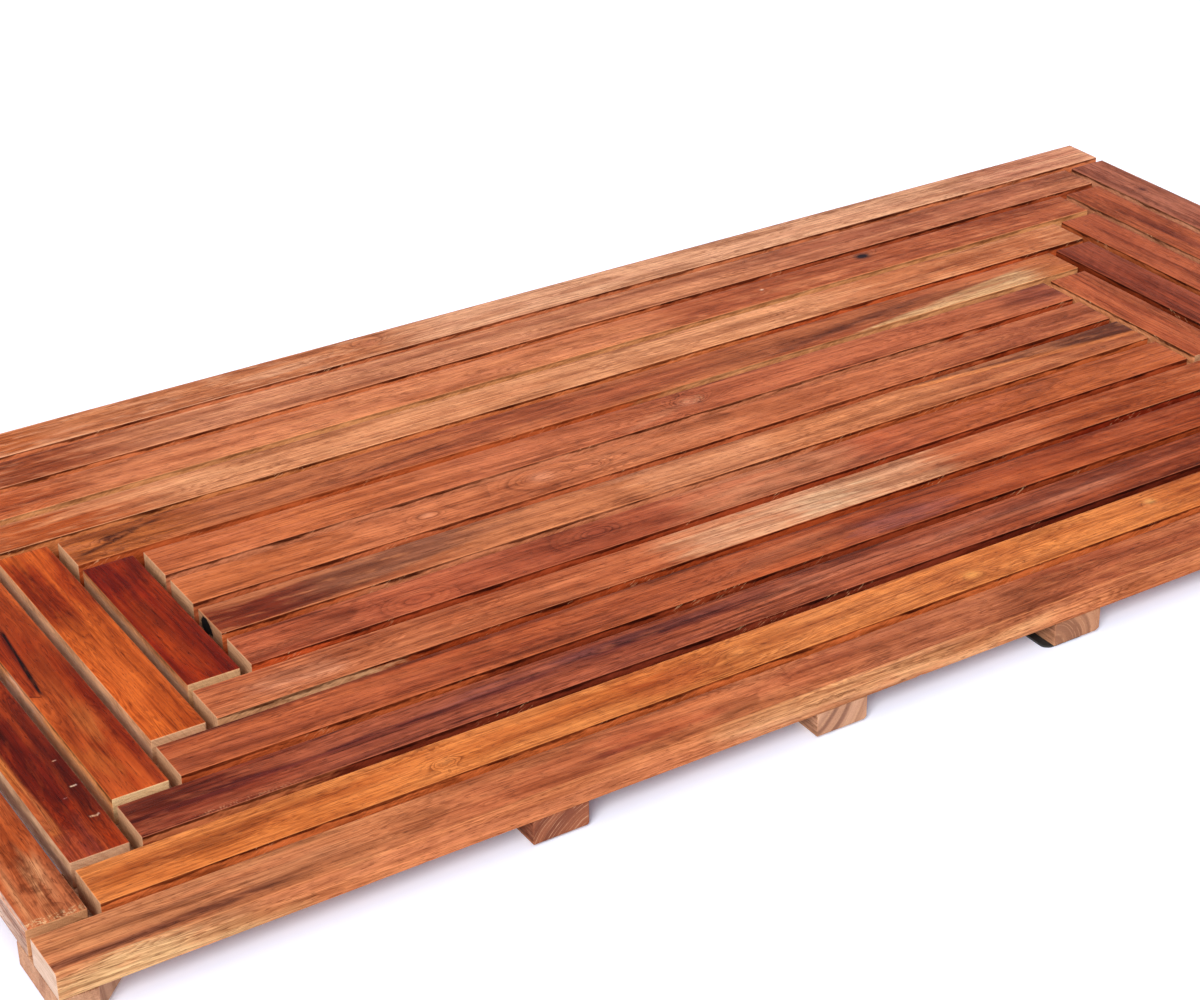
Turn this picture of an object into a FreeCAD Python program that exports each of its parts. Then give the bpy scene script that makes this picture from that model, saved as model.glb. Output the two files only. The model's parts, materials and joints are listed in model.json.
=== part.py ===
"""Teak bath mat: a slatted duckboard screwed together from below.

Five rings of slats, one inside the other, surround four middle slats.
Four cross battens and four diagonal corner battens carry the slats.
Every slat is held by countersunk screws driven up through the battens,
so no fastener shows on top.  Thin rubber pads stand on the floor.

Frame: millimetres, origin on the floor under the middle of the mat,
+X along the mat, +Y to its back, +Z up.
"""

import FreeCAD
import Part
import math
import os

# ---------------------------------------------------------------- sizes, mm
# slats
mat_length = 1010.0
slat_width = 30.0
slat_gap = 6.0
slat_thickness = 15.0
slat_ease = 1.2               # rounding of every slat edge
row_count = 14                # long slats side by side across the mat
ring_count = 5                # nested frames of slats

# battens
batten_height = 14.0
batten_ease = 0.8
cross_batten_width = 32.0
cross_batten_setback = 0.4    # batten ends behind the front and back faces
inner_batten_spacing = 158.0  # between the middles of the two inner battens
corner_batten_width = 49.0
corner_batten_offset = 16.0   # its middle line meets the short side here
corner_to_cross_space = 15.5  # free space from corner batten to cross batten
corner_tip_space = 14.5       # between the inner tips of two corner battens
worn_edge_height = 2.0        # lower right edge planed off each cross batten
worn_edge_widths = {
    "left_outer": 1.6,
    "left_inner": 2.4,
    "right_inner": 3.4,
    "right_outer": 2.0,
}

# screws
screw_diameter = 3.5
screw_head_diameter = 7.0
screw_head_height = 2.6
screw_tip_height = 4.0
screw_recess = 1.2            # head below the underside of the batten
wood_over_screw = 5.5         # slat left above the screw tip
hole_clearance = 0.3          # on the diameter, round shank and head
pilot_clearance = 0.1         # on the diameter, round the thread

# rubber pads
pad_thickness = 1.2
pad_corner = 5.0
cross_pad_side = 28.0
corner_pad_length = 40.0
corner_pad_width = 16.0
stray_pad_setback = 2.0       # one pad is stuck on askew, near the front
stray_pad_overhang = 4.5      # and stands out beside its batten

# ------------------------------------------------------------ worked out
pitch = slat_width + slat_gap
mat_width = row_count * slat_width + (row_count - 1) * slat_gap
half_length = mat_length / 2
half_width = mat_width / 2
middle_rows = row_count - 2 * ring_count

batten_bottom = pad_thickness
slat_bottom = batten_bottom + batten_height
screw_top = slat_bottom + slat_thickness - wood_over_screw
screw_bottom = batten_bottom + screw_recess

# A corner batten in plan, measured from the corner of the mat:
# x runs along the long side and y along the short side.
half_cut = corner_batten_width / math.sqrt(2)
long_side_cut = half_cut - corner_batten_offset
short_side_cut = half_cut + corner_batten_offset
inner_end_sum = mat_width - corner_tip_space - short_side_cut
corner_batten_tip = (inner_end_sum + long_side_cut) / 2

outer_batten_x = half_length - corner_batten_tip - corner_to_cross_space - cross_batten_width / 2
inner_batten_x = inner_batten_spacing / 2
cross_batten_half_length = half_width - cross_batten_setback


def at(x, y, z):
    return FreeCAD.Vector(x, y, z)


def save(shape, name):
    shape.exportStep("parts/" + name + ".step")


def group(shapes):
    return shapes[0] if len(shapes) == 1 else Part.makeCompound(shapes)


def row_front(row):
    """Y of the front face of a long slat, counted from the front."""
    return -half_width + row * pitch


def row_middle(row):
    return row_front(row) + slat_width / 2


# ---------------------------------------------------------------- screws
def screw(x, y):
    """Countersunk screw pointing up: flat head, shank, pointed tip."""
    head = screw_head_diameter / 2
    shank = screw_diameter / 2
    neck = screw_bottom + screw_head_height
    tip = screw_top - screw_tip_height
    outline = [
        at(0, 0, screw_bottom),
        at(head, 0, screw_bottom),
        at(shank, 0, neck),
        at(shank, 0, tip),
        at(0, 0, screw_top),
        at(0, 0, screw_bottom),
    ]
    profile = Part.Face(Part.makePolygon(outline))
    solid = profile.revolve(at(0, 0, 0), at(0, 0, 1), 360)
    solid.translate(at(x, y, 0))
    return solid


def batten_hole(x, y):
    """Countersunk hole for one screw, open at the batten's underside."""
    head = (screw_head_diameter + hole_clearance) / 2
    shank = (screw_diameter + hole_clearance) / 2
    neck = screw_bottom + screw_head_height
    outline = [
        at(0, 0, 0),
        at(head, 0, 0),
        at(head, 0, screw_bottom),
        at(shank, 0, neck),
        at(shank, 0, slat_bottom + 1),
        at(0, 0, slat_bottom + 1),
        at(0, 0, 0),
    ]
    profile = Part.Face(Part.makePolygon(outline))
    solid = profile.revolve(at(0, 0, 0), at(0, 0, 1), 360)
    solid.translate(at(x, y, 0))
    return solid


def pilot_hole(x, y):
    """Blind hole in a slat's underside, just clear of the screw."""
    radius = (screw_diameter + pilot_clearance) / 2
    straight_top = screw_top - screw_tip_height
    hole_top = screw_top + pilot_clearance
    outline = [
        at(0, 0, slat_bottom - 1),
        at(radius, 0, slat_bottom - 1),
        at(radius, 0, straight_top + pilot_clearance),
        at(0, 0, hole_top),
        at(0, 0, slat_bottom - 1),
    ]
    profile = Part.Face(Part.makePolygon(outline))
    solid = profile.revolve(at(0, 0, 0), at(0, 0, 1), 360)
    solid.translate(at(x, y, 0))
    return solid


# ------------------------------------------------------------ slat layout
def slat_places():
    """Name and plan rectangle (x0, y0, x1, y1) of every slat."""
    places = {}
    for ring in range(ring_count):
        number = str(ring + 1)
        inset = ring * pitch
        x0 = -half_length + inset
        front = row_front(ring)
        back = row_front(row_count - 1 - ring)
        places["slat_front_" + number] = (x0, front, -x0, front + slat_width)
        places["slat_back_" + number] = (x0, back, -x0, back + slat_width)
        y0 = front + pitch
        places["slat_left_" + number] = (x0, y0, x0 + slat_width, -y0)
        places["slat_right_" + number] = (-x0 - slat_width, y0, -x0, -y0)
    middle_end = half_length - ring_count * pitch
    for index in range(middle_rows):
        front = row_front(row_count - 1 - ring_count - index)
        name = "slat_middle_" + str(index + 1)
        places[name] = (-middle_end, front, middle_end, front + slat_width)
    return places


# ---------------------------------------------------------- screw layout
def cross_screw_places(batten_x):
    return [(batten_x, row_middle(row)) for row in range(row_count)]


def corner_screw_places(side_x, side_y):
    """One screw in each slat end that lies over a corner batten.

    Long slat ends lie within long_side_cut of the diagonal, short slat
    ends start one pitch further on.
    """
    places = []
    long_reach = (slat_width / 2 + long_side_cut) / 2
    short_reach = (slat_width / 2 + short_side_cut - pitch) / 2
    for ring in range(ring_count + 1):
        start = ring * pitch
        places.append((start + long_reach, start + slat_width / 2))
        if ring < ring_count:
            places.append((start + slat_width / 2, start + pitch + short_reach))
    turned = []
    for along, across in places:
        x = side_x * (half_length - along)
        y = side_y * (half_width - across)
        turned.append((x, y))
    return turned


# ---------------------------------------------------------------- shapes
def slat(rectangle, screws):
    x0, y0, x1, y1 = rectangle
    block = Part.makeBox(x1 - x0, y1 - y0, slat_thickness, at(x0, y0, slat_bottom))
    block = block.makeFillet(slat_ease, block.Edges)
    holes = [pilot_hole(x, y) for x, y in screws if x0 < x < x1 and y0 < y < y1]
    return block.cut(holes) if holes else block


def worn_edge(batten_x, width):
    """Wedge that planes the lower right edge off a cross batten."""
    right = batten_x + cross_batten_width / 2
    front = -cross_batten_half_length
    outline = [
        at(right, front, batten_bottom),
        at(right - width, front, batten_bottom),
        at(right, front, batten_bottom + worn_edge_height),
        at(right, front, batten_bottom),
    ]
    wedge = Part.Face(Part.makePolygon(outline))
    return wedge.extrude(at(0, 2 * cross_batten_half_length, 0))


def cross_batten(batten_x, worn_width):
    corner = at(batten_x - cross_batten_width / 2, -cross_batten_half_length, batten_bottom)
    block = Part.makeBox(cross_batten_width, 2 * cross_batten_half_length, batten_height, corner)
    block = block.makeFillet(batten_ease, block.Edges)
    holes = [batten_hole(x, y) for x, y in cross_screw_places(batten_x)]
    return block.cut(holes + [worn_edge(batten_x, worn_width)])


def corner_batten(side_x, side_y):
    """Diagonal batten, cut flush with both sides of the mat."""
    plan = [
        (0, 0),
        (long_side_cut, 0),
        (corner_batten_tip, corner_batten_tip - long_side_cut),
        ((inner_end_sum - short_side_cut) / 2, (inner_end_sum + short_side_cut) / 2),
        (0, short_side_cut),
    ]
    corners = []
    for along, across in plan + plan[:1]:
        x = side_x * (half_length - along)
        y = side_y * (half_width - across)
        corners.append(at(x, y, batten_bottom))
    face = Part.Face(Part.makePolygon(corners))
    block = face.extrude(at(0, 0, batten_height))
    block = block.makeFillet(batten_ease, block.Edges)
    holes = [batten_hole(x, y) for x, y in corner_screw_places(side_x, side_y)]
    return block.cut(holes)


def pad(length, width, x, y, angle=0.0):
    """Rubber pad with rounded corners, flat on the floor."""
    corner = at(-length / 2, -width / 2, 0)
    block = Part.makeBox(length, width, pad_thickness, corner)
    upright = [edge for edge in block.Edges if edge.BoundBox.ZLength > pad_thickness / 2]
    block = block.makeFillet(pad_corner, upright)
    block.rotate(at(0, 0, 0), at(0, 0, 1), angle)
    block.translate(at(x, y, 0))
    return block


def cross_pad_place(batten_x, side_y, askew):
    """Between the screws of the two outer slats, or askew near the end."""
    if not askew:
        between_screws = half_width - slat_width - slat_gap / 2
        return batten_x, side_y * between_screws
    x = batten_x - cross_batten_width / 2 - stray_pad_overhang + cross_pad_side / 2
    y = side_y * (half_width - stray_pad_setback - cross_pad_side / 2)
    return x, y


def corner_pad_place(side_x, side_y):
    """On the batten's middle line, past the screws of the outer ring."""
    along = 1.5 * pitch
    across = along + corner_batten_offset
    return side_x * (half_length - along), side_y * (half_width - across)


# ---------------------------------------------------------------- build
cross_battens = {
    "left_outer": -outer_batten_x,
    "left_inner": -inner_batten_x,
    "right_inner": inner_batten_x,
    "right_outer": outer_batten_x,
}
corners = {
    "front_left": (-1, -1),
    "front_right": (1, -1),
    "back_left": (-1, 1),
    "back_right": (1, 1),
}
ends = {"front": -1, "back": 1}

os.makedirs("parts", exist_ok=True)

cross_screws = []
for batten_x in cross_battens.values():
    cross_screws += cross_screw_places(batten_x)

corner_screws = []
for side_x, side_y in corners.values():
    corner_screws += corner_screw_places(side_x, side_y)

for name, rectangle in slat_places().items():
    save(slat(rectangle, cross_screws + corner_screws), name)

for name, batten_x in cross_battens.items():
    save(cross_batten(batten_x, worn_edge_widths[name]), "cross_batten_" + name)
    for end, side_y in ends.items():
        askew = name == "right_inner" and end == "front"
        x, y = cross_pad_place(batten_x, side_y, askew)
        piece = pad(cross_pad_side, cross_pad_side, x, y)
        save(piece, "pad_" + name + "_" + end)

for name, (side_x, side_y) in corners.items():
    save(corner_batten(side_x, side_y), "corner_batten_" + name)
    x, y = corner_pad_place(side_x, side_y)
    piece = pad(corner_pad_length, corner_pad_width, x, y, 45.0 * side_x * side_y)
    save(piece, "pad_corner_" + name)

save(group([screw(x, y) for x, y in cross_screws]), "cross_batten_screws")
save(group([screw(x, y) for x, y in corner_screws]), "corner_batten_screws")
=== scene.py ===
"""Slatted teak bath mat: oiled slats, sawn battens, steel screws and rubber pads."""

import json
import math

import bpy
from mathutils import Matrix, Vector


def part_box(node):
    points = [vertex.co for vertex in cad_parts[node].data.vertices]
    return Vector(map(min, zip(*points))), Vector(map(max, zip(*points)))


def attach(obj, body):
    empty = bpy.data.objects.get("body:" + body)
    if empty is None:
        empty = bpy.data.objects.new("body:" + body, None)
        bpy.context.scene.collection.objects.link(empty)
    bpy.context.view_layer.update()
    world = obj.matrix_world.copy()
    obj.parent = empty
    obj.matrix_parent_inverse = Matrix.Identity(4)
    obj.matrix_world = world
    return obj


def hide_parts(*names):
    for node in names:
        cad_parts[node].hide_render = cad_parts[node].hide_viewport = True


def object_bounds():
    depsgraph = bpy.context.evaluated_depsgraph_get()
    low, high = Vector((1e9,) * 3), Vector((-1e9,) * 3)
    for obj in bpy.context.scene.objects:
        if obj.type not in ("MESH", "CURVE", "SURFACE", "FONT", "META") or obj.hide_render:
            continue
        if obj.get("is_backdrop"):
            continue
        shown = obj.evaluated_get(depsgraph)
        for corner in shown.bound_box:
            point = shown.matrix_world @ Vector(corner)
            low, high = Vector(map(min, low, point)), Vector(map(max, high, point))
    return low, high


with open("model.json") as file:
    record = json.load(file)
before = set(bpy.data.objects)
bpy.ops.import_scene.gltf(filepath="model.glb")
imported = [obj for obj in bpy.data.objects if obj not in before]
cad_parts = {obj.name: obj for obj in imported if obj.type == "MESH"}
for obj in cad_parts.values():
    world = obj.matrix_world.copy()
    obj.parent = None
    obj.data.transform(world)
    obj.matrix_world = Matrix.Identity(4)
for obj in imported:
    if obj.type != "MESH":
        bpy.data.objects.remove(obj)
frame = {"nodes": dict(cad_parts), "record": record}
cad_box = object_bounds()

MM = 0.001

# ------------------------------------------------------------------ node writing


class Field:
    """A value that varies over a surface or a mesh: one socket of a node tree."""

    def __init__(self, tree, socket):
        self.tree = tree
        self.socket = socket

    def maths(self, operation, *others):
        inputs = dict(enumerate((self,) + others))
        return self.tree.node("ShaderNodeMath", {"operation": operation}, inputs)

    def __add__(self, other):
        return self.maths("ADD", other)

    def __sub__(self, other):
        return self.maths("SUBTRACT", other)

    def __rsub__(self, other):
        return self.tree.node("ShaderNodeMath", {"operation": "SUBTRACT"}, {0: other, 1: self})

    def __mul__(self, other):
        return self.maths("MULTIPLY", other)

    def __truediv__(self, other):
        return self.maths("DIVIDE", other)

    def __pow__(self, other):
        return self.maths("POWER", other)

    def __abs__(self):
        return self.maths("ABSOLUTE")

    __radd__ = __add__
    __rmul__ = __mul__

    def step(self, low, high):
        """0 below low and 1 above high, with a smooth rise between."""
        settings = {"interpolation_type": "SMOOTHSTEP"}
        inputs = {"Value": self, "From Min": low, "From Max": high}
        return self.tree.node("ShaderNodeMapRange", settings, inputs)


class Tree:
    """A node tree under construction, for a material or for geometry."""

    def __init__(self, tree):
        self.tree = tree

    def node(self, kind, settings=None, inputs=None, output=0):
        """Adds a node, sets it up, feeds its inputs and returns one of its outputs."""
        made = self.tree.nodes.new(kind)
        for name, value in (settings or {}).items():
            setattr(made, name, value)
        for key, value in (inputs or {}).items():
            self.feed(made.inputs[key], value)
        return Field(self, made.outputs[output]) if len(made.outputs) else made

    def feed(self, socket, value):
        """Links a field to a socket, or sets the socket to a constant."""
        if isinstance(value, Field):
            self.tree.links.new(value.socket, socket)
            return
        if hasattr(value, "__len__") and not isinstance(value, str):
            value = tuple(value)
            if socket.type == "RGBA" and len(value) == 3:
                value = value + (1.0,)
        socket.default_value = value

    def vector(self, x, y, z):
        return self.node("ShaderNodeCombineXYZ", None, {0: x, 1: y, 2: z})

    def parts(self, vector):
        """The three components of a vector."""
        split = self.node("ShaderNodeSeparateXYZ", None, {0: vector})
        outputs = split.socket.node.outputs
        return [Field(self, socket) for socket in outputs]

    def vector_maths(self, operation, *vectors):
        inputs = dict(enumerate(vectors))
        return self.node("ShaderNodeVectorMath", {"operation": operation}, inputs)

    def noise(self, x, y, z, detail=2.0, roughness=0.5):
        inputs = {"Vector": self.vector(x, y, z), "Scale": 1.0}
        inputs.update({"Detail": detail, "Roughness": roughness})
        return self.node("ShaderNodeTexNoise", {"noise_dimensions": "3D"}, inputs)


# the sockets of a Mix node that mixes colours
SHARE, UNDER, OVER, MIXED = 0, 6, 7, 2


class Finish(Tree):
    """A material's node tree."""

    def __init__(self, name):
        self.material = bpy.data.materials.new(name)
        self.material.use_nodes = True
        super().__init__(self.material.node_tree)
        self.tree.nodes.clear()

    def blend(self, share, under, over, mode="MIX"):
        """Lays one colour over another by share."""
        settings = {"data_type": "RGBA", "blend_type": mode}
        inputs = {SHARE: share, UNDER: under, OVER: over}
        return self.node("ShaderNodeMix", settings, inputs, MIXED)

    def surface(self, constants, **varying):
        """Principled surface; varying sockets are given by name with underscores."""
        inputs = dict(constants)
        for name, value in varying.items():
            inputs[name.replace("_", " ")] = value
        shader = self.node("ShaderNodeBsdfPrincipled", None, inputs)
        self.node("ShaderNodeOutputMaterial", None, {"Surface": shader})
        return self.material


# ------------------------------------------------------------------ teak

STUDIO = 0.98              # how much the studio light lifts a colour, allowed for in the finishes
SHEEN = 0.006              # and how much white sheen it adds
BRIGHTEST = 0.80           # the most light that any wood gives back
GAP_LIFT = 1.85            # painted light: how much brighter a colour is mixed for the faces in the shade of a gap
END_LIFT = 1.35            # and for the sawn ends, also painted light
OUTER_SKIN = (13.2, 14.0)  # where the outer side of the outermost slats begins, mm from the middle


def oiled(red, green, blue, lift=1.0):
    """A wood colour as it should look in the studio, 0 to 255, as a linear colour."""
    out = []
    for value in (red, green, blue):
        share = value / 255
        linear = share / 12.92 if share < 0.04 else ((share + 0.055) / 1.055) ** 2.4
        # lift brightens a colour past how it should look, as painted light for faces in shade
        out.append(max(0.003, linear - SHEEN) * lift / STUDIO)
    hold = min(1.0, BRIGHTEST / max(out))
    return tuple(value * hold for value in out)


def plank(plain, light, dark, heart=(45.0, -30.0), drift=6.0, taper=0.01, ring=3.2, bands=0.6,
          lines=0.5, streaks=0.5, clouds=0.6, ripple=1.6, side=(150, 75, 40), sides=(),
          ends=(176, 138, 106), outside=(205, 122, 76), outsides=(), seed=0.0, knots=(),
          crinkles=(), voids=(), patches=(), shadows=0.62, veins=0.60, fine=1.0, lip=1.0, deep=0.0,
          murk=0.55):
    """How one piece of teak looks.

    plain, light, dark: its colours.
    heart: where the middle of the trunk lies, across and up from the slat, mm.
    drift: how far the heart wanders along the slat, mm.
    taper: how fast the trunk narrows, which draws the arches on a flat-sawn face.
    ring: width of a growth ring, mm.
    bands, lines, streaks, clouds, ripple, shadows, veins: strength of each layer of the figure.
    side, ends, outside: colour of the faces in the gaps, the end grain and the outer side.
    sides, outsides: stretches of another colour on those faces: (colour, (from, to), strength).
    fine: strength of the short fibres.
    lip: strength of the dark line under the top edge in the gaps; deep is painted light, which lightens
    what is below it against the shade deep in the gap, and murk darkens it in patches.
    knots: (along, across, size, colour, strength).
    crinkles: places with crossed grain: (along, length, depth).
    voids: knot holes painted black, as painted shade: (along, across, up, size).
    patches: see patch().
    """
    return dict(locals())


def patch(tone, along, soft=25.0, across=(-40.0, 40.0), across_soft=5.0, lean=0.0, strength=0.8,
          ragged=1.0, speckled=False):
    """A region of another colour, in mm on the slat.

    lean moves the region across the slat by that share of the distance along.
    """
    return dict(locals())


def between(value, span, soft):
    """1 inside a span, falling smoothly to 0 at both its ends."""
    low, high = span
    rise = value.step(low - soft / 2, low + soft / 2)
    return rise * (1 - value.step(high - soft / 2, high + soft / 2))


def hill(value, middle, width):
    """1 at the middle, falling smoothly to 0 on both sides."""
    return (((value - middle) / width) ** 2 * -1.0).maths("EXPONENT")


class Teak(Finish):
    """Solid teak, with one figure that runs through its faces, sides and ends."""

    def __init__(self, name, look, middle, turn, outer=0):
        """middle places the piece, in metres, and turn turns it about Z, in radians.

        outer is -1 or 1 where the front or back side shows on the mat's outside.
        """
        super().__init__(name)
        self.look = look
        self.seed = look["seed"]
        self.outer = outer
        self.plain, self.light, dark = (oiled(*look[key]) for key in ("plain", "light", "dark"))
        self.shade = [min(1.0, deep / shown) for deep, shown in zip(dark, self.plain)]
        self.glow = [(bright + warm * 1.3) / 2 for bright, warm in zip(self.light, self.plain)]
        self.measure(middle, turn)
        self.grow()
        self.lay_rings()
        self.lay_fibres()
        self.lay_clouds()
        self.saw_gap_faces()

    def multiply(self, share, under, tone):
        return self.blend(share, under, tone, "MULTIPLY")

    def measure(self, middle, turn):
        """Where a point lies in the piece, in mm, and which of its faces it is on."""
        place = self.node("ShaderNodeTexCoord", output="Object")
        settings = {"vector_type": "TEXTURE"}
        inputs = {"Vector": place, "Location": middle, "Rotation": (0, 0, turn), "Scale": (MM, MM, MM)}
        self.along, self.across, self.up = self.parts(self.node("ShaderNodeMapping", settings, inputs))
        normal = self.node("ShaderNodeNewGeometry", output="Normal")
        self.facing_up = self.parts(normal)[2]
        inputs = {0: normal, 1: (math.cos(turn), math.sin(turn), 0)}
        end = self.node("ShaderNodeVectorMath", {"operation": "DOT_PRODUCT"}, inputs, "Value")
        self.end_face = abs(end).step(0.55, 0.85)
        self.top_face = abs(self.facing_up).step(0.45, 0.80)
        self.outside = (self.across * (self.outer or 1)).step(*OUTER_SKIN)

    def grow(self):
        """The distance from the heart, which the growth rings follow, bent round the knots."""
        look, seed = self.look, self.seed
        along, across, up = self.along, self.across, self.up
        self.wander = self.noise(along / 300 + seed, seed * 1.7, 0.3, 1.0) - 0.5
        sway = self.noise(along / 210 + seed, 4.1, seed, 1.0) - 0.5
        beside = across - look["heart"][0] + self.wander * (look["drift"] * 4)
        below = up - look["heart"][1] + sway * (look["drift"] * 3)
        radius = (beside * beside + below * below) ** 0.5 + along * look["taper"]
        self.waver = self.noise(along / 130 + seed, across / 18, up / 18, 2.0) - 0.5
        radius = radius + self.waver * (look["ripple"] * 2)
        self.stirred = 0.0
        for where, length, depth in look["crinkles"]:
            window = hill(along, where, length)
            stir = self.noise(along / 7, across / 10, seed, 2.0) - 0.5
            radius = radius + window * stir * depth
            self.stirred = window * 0.5 + self.stirred
        self.cores = []
        self.round_knots = 0.0
        for where, side, size, tone, strength in look["knots"]:
            bulge = hill(along, where, size * 2.6) * hill(across, side, size * 1.1)
            radius = radius + bulge * (size * 2.2)
            self.round_knots = bulge + self.round_knots
            core = hill(along, where, size * 0.95) * hill(across, side, size * 0.62)
            self.cores.append((core * strength, oiled(*tone)))
        self.radius = radius

    def lay_rings(self):
        """Growth rings, each with its own late wood, and broad bands."""
        along, radius, seed = self.along, self.radius, self.seed
        count = radius / self.look["ring"] + self.noise(radius / 9, seed + 3.3, 0.0, 1.0) * 3.0
        self.phase = count.maths("FRACT")
        self.each = (count.maths("FLOOR") * 0.618 + seed).maths("FRACT")
        self.fade = self.noise(along / 60, radius / 7 + seed, 6.0, 2.0).step(0.36, 0.56)
        self.late_wood = self.phase.step(0.35, 0.92) * (1 - self.phase.step(0.94, 1.0))
        self.late = self.late_wood * (self.each * 0.75 + 0.25) * self.fade
        self.band = self.noise(radius / 7.5 + seed, along / 800, 1.0, 2.0).step(0.44, 0.62)

    def lay_fibres(self):
        """Fibres, hairs and pores, which run along the piece."""
        along, up, seed = self.along, self.up, self.seed
        run_out = 0.03 * math.sin(seed * 5.0)
        lane = self.across + along * run_out + self.waver * (self.look["ripple"] * 3)
        lane = lane + self.wander * 8
        self.lane = lane
        self.streak = self.noise(along / 170 + seed, lane * 0.50, up * 0.50, 3.0, 0.62).step(0.52, 0.66)
        self.fibre = self.noise(along / 48 + seed, lane * 0.80, up * 0.80, 3.0, 0.66).step(0.42, 0.66)
        self.hair = self.noise(along / 14, lane * 1.7, up * 1.7 + seed, 2.0, 0.6).step(0.42, 0.66)
        self.pore = self.noise(along / 6.5, lane * 2.5, up * 2.5 + seed, 2.0).step(0.59, 0.68)

    def lay_clouds(self):
        """Lighter and darker places: clouds, shadows, veins, mottle and sheen."""
        along, across, up, seed = self.along, self.across, self.up, self.seed
        self.cloud = self.noise(along / 120 + seed, across / 22, up / 26, 2.0).step(0.40, 0.61)
        cloud_edge = self.noise(along / 85 + seed, across / 13, up / 13, 1.0).step(0.42, 0.60)
        flow = self.noise(along / 105 + seed * 2, self.lane / 10, up / 10, 2.0, 0.42)
        self.shadow = flow.step(0.50, 0.64)
        self.gleam = flow.step(0.46, 0.34)
        contour = (flow * 24).maths("FRACT")
        self.vein = contour.step(0.25, 0.86) * (1 - contour.step(0.90, 1.0)) * cloud_edge
        self.mottle = self.noise(along / 22 + seed, (across + along * 0.08) / 4.2, up / 4.2, 3.0, 0.55)
        self.mottle_share = self.noise(along / 60, across / 12 + seed, 2.0, 1.0).step(0.40, 0.62)
        slant = (along + across * 0.8) / 9 + seed
        self.sheen = self.noise(slant, (across - along * 0.04) / 30, up / 42, 1.0).step(0.30, 0.75)

    def saw_gap_faces(self):
        """Marks on the sawn faces: strokes that lean over, rubbed places and murky places."""
        along, across, up, seed = self.along, self.across, self.up, self.seed
        leaning = along * 0.88 + up * 0.48
        over = up * 0.88 - along * 0.48
        self.saw = self.noise(leaning * 0.20 + seed, over * 1.25, across * 0.1, 3.0, 0.66)
        self.rub = self.noise(along / 21 + seed, across / 20, up / 5, 3.0, 0.6).step(0.34, 0.66)
        self.murk = self.noise(along / 24 + seed, up / 3.2, across / 10, 3.0, 0.62)
        self.speck = self.noise(across * 2.4, up * 2.4, along * 2.4, 1.0).step(0.56, 0.68)

    def planed_colour(self):
        """The top face: the plank's colours and patches under every layer of its figure."""
        look = self.look
        colour = self.blend(self.cloud * look["clouds"], self.plain, self.light)
        for spot in look["patches"]:
            colour = self.blend(self.patch_share(spot), colour, oiled(*spot["tone"]))
        if self.outer:
            colour = self.blend(self.outside * 0.8, colour, oiled(*look["outside"]))
            for tone, span, strength in look["outsides"]:
                share = between(self.along + (self.cloud - 0.5) * 60, span, 80)
                colour = self.blend(share * strength * self.outside, colour, oiled(*tone))
        colour = self.multiply(self.band * look["bands"], colour, self.shade)
        colour = self.blend(self.gleam * look["shadows"] * 0.8, colour, self.glow)
        colour = self.multiply(self.shadow * look["shadows"], colour, (0.54, 0.41, 0.33))
        colour = self.multiply(self.streak * look["streaks"], colour, (0.30, 0.20, 0.15))
        colour = self.multiply(self.ring_lines(), colour, (0.30, 0.20, 0.14))
        colour = self.multiply(self.vein * look["veins"], colour, (0.48, 0.36, 0.28))
        return self.fine_figure(colour)

    def patch_share(self, spot):
        """How much of a patch covers each point."""
        along, across = self.along, self.across
        edge = (self.noise(along / 40, across / 5 + self.seed, 0.0, 2.0) - 0.5) * spot["ragged"]
        slid = across - (along - spot["along"][0]) * spot["lean"] + edge * 6
        share = between(along + edge * 60, spot["along"], spot["soft"])
        share = share * between(slid, spot["across"], spot["across_soft"]) * spot["strength"]
        if spot["speckled"]:
            share = share * self.noise(along * 0.9, across * 0.5, self.seed, 3.0).step(0.47, 0.60)
        return share

    def ring_lines(self):
        """Dark lines of late wood, stronger round knots and where the grain is crossed."""
        look = self.look
        lines = self.late * look["lines"]
        if look["knots"]:
            lines = lines + self.late_wood * self.round_knots * 0.5
        if look["crinkles"]:
            lines = lines * (self.stirred + 1.0)
        if look["knots"] or look["crinkles"]:
            lines = lines.maths("MINIMUM", 1.0)
        return lines

    def fine_figure(self, colour):
        """Adds what is seen from close by: mottle, fibres, hairs, sheen, knots and pores."""
        fine = self.look["fine"]
        dark_mottle = self.mottle.step(0.50, 0.70) * self.mottle_share
        colour = self.multiply(dark_mottle * (0.42 * fine), colour, (0.52, 0.42, 0.36))
        colour = self.blend(self.mottle.step(0.50, 0.32) * (0.30 * fine), colour, self.glow)
        colour = self.multiply(self.fibre * (0.50 * fine), colour, (0.44, 0.33, 0.26))
        colour = self.multiply(self.hair * (0.36 * fine), colour, (0.52, 0.43, 0.36))
        # painted sheen: soft lighter streaks across the grain
        colour = self.blend(self.sheen * 0.28, colour, (0.86, 0.80, 0.72), "SOFT_LIGHT")
        for share, tone in self.cores:
            colour = self.blend(share, colour, tone)
        return self.multiply(self.pore * 0.70, colour, (0.24, 0.14, 0.12))

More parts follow.
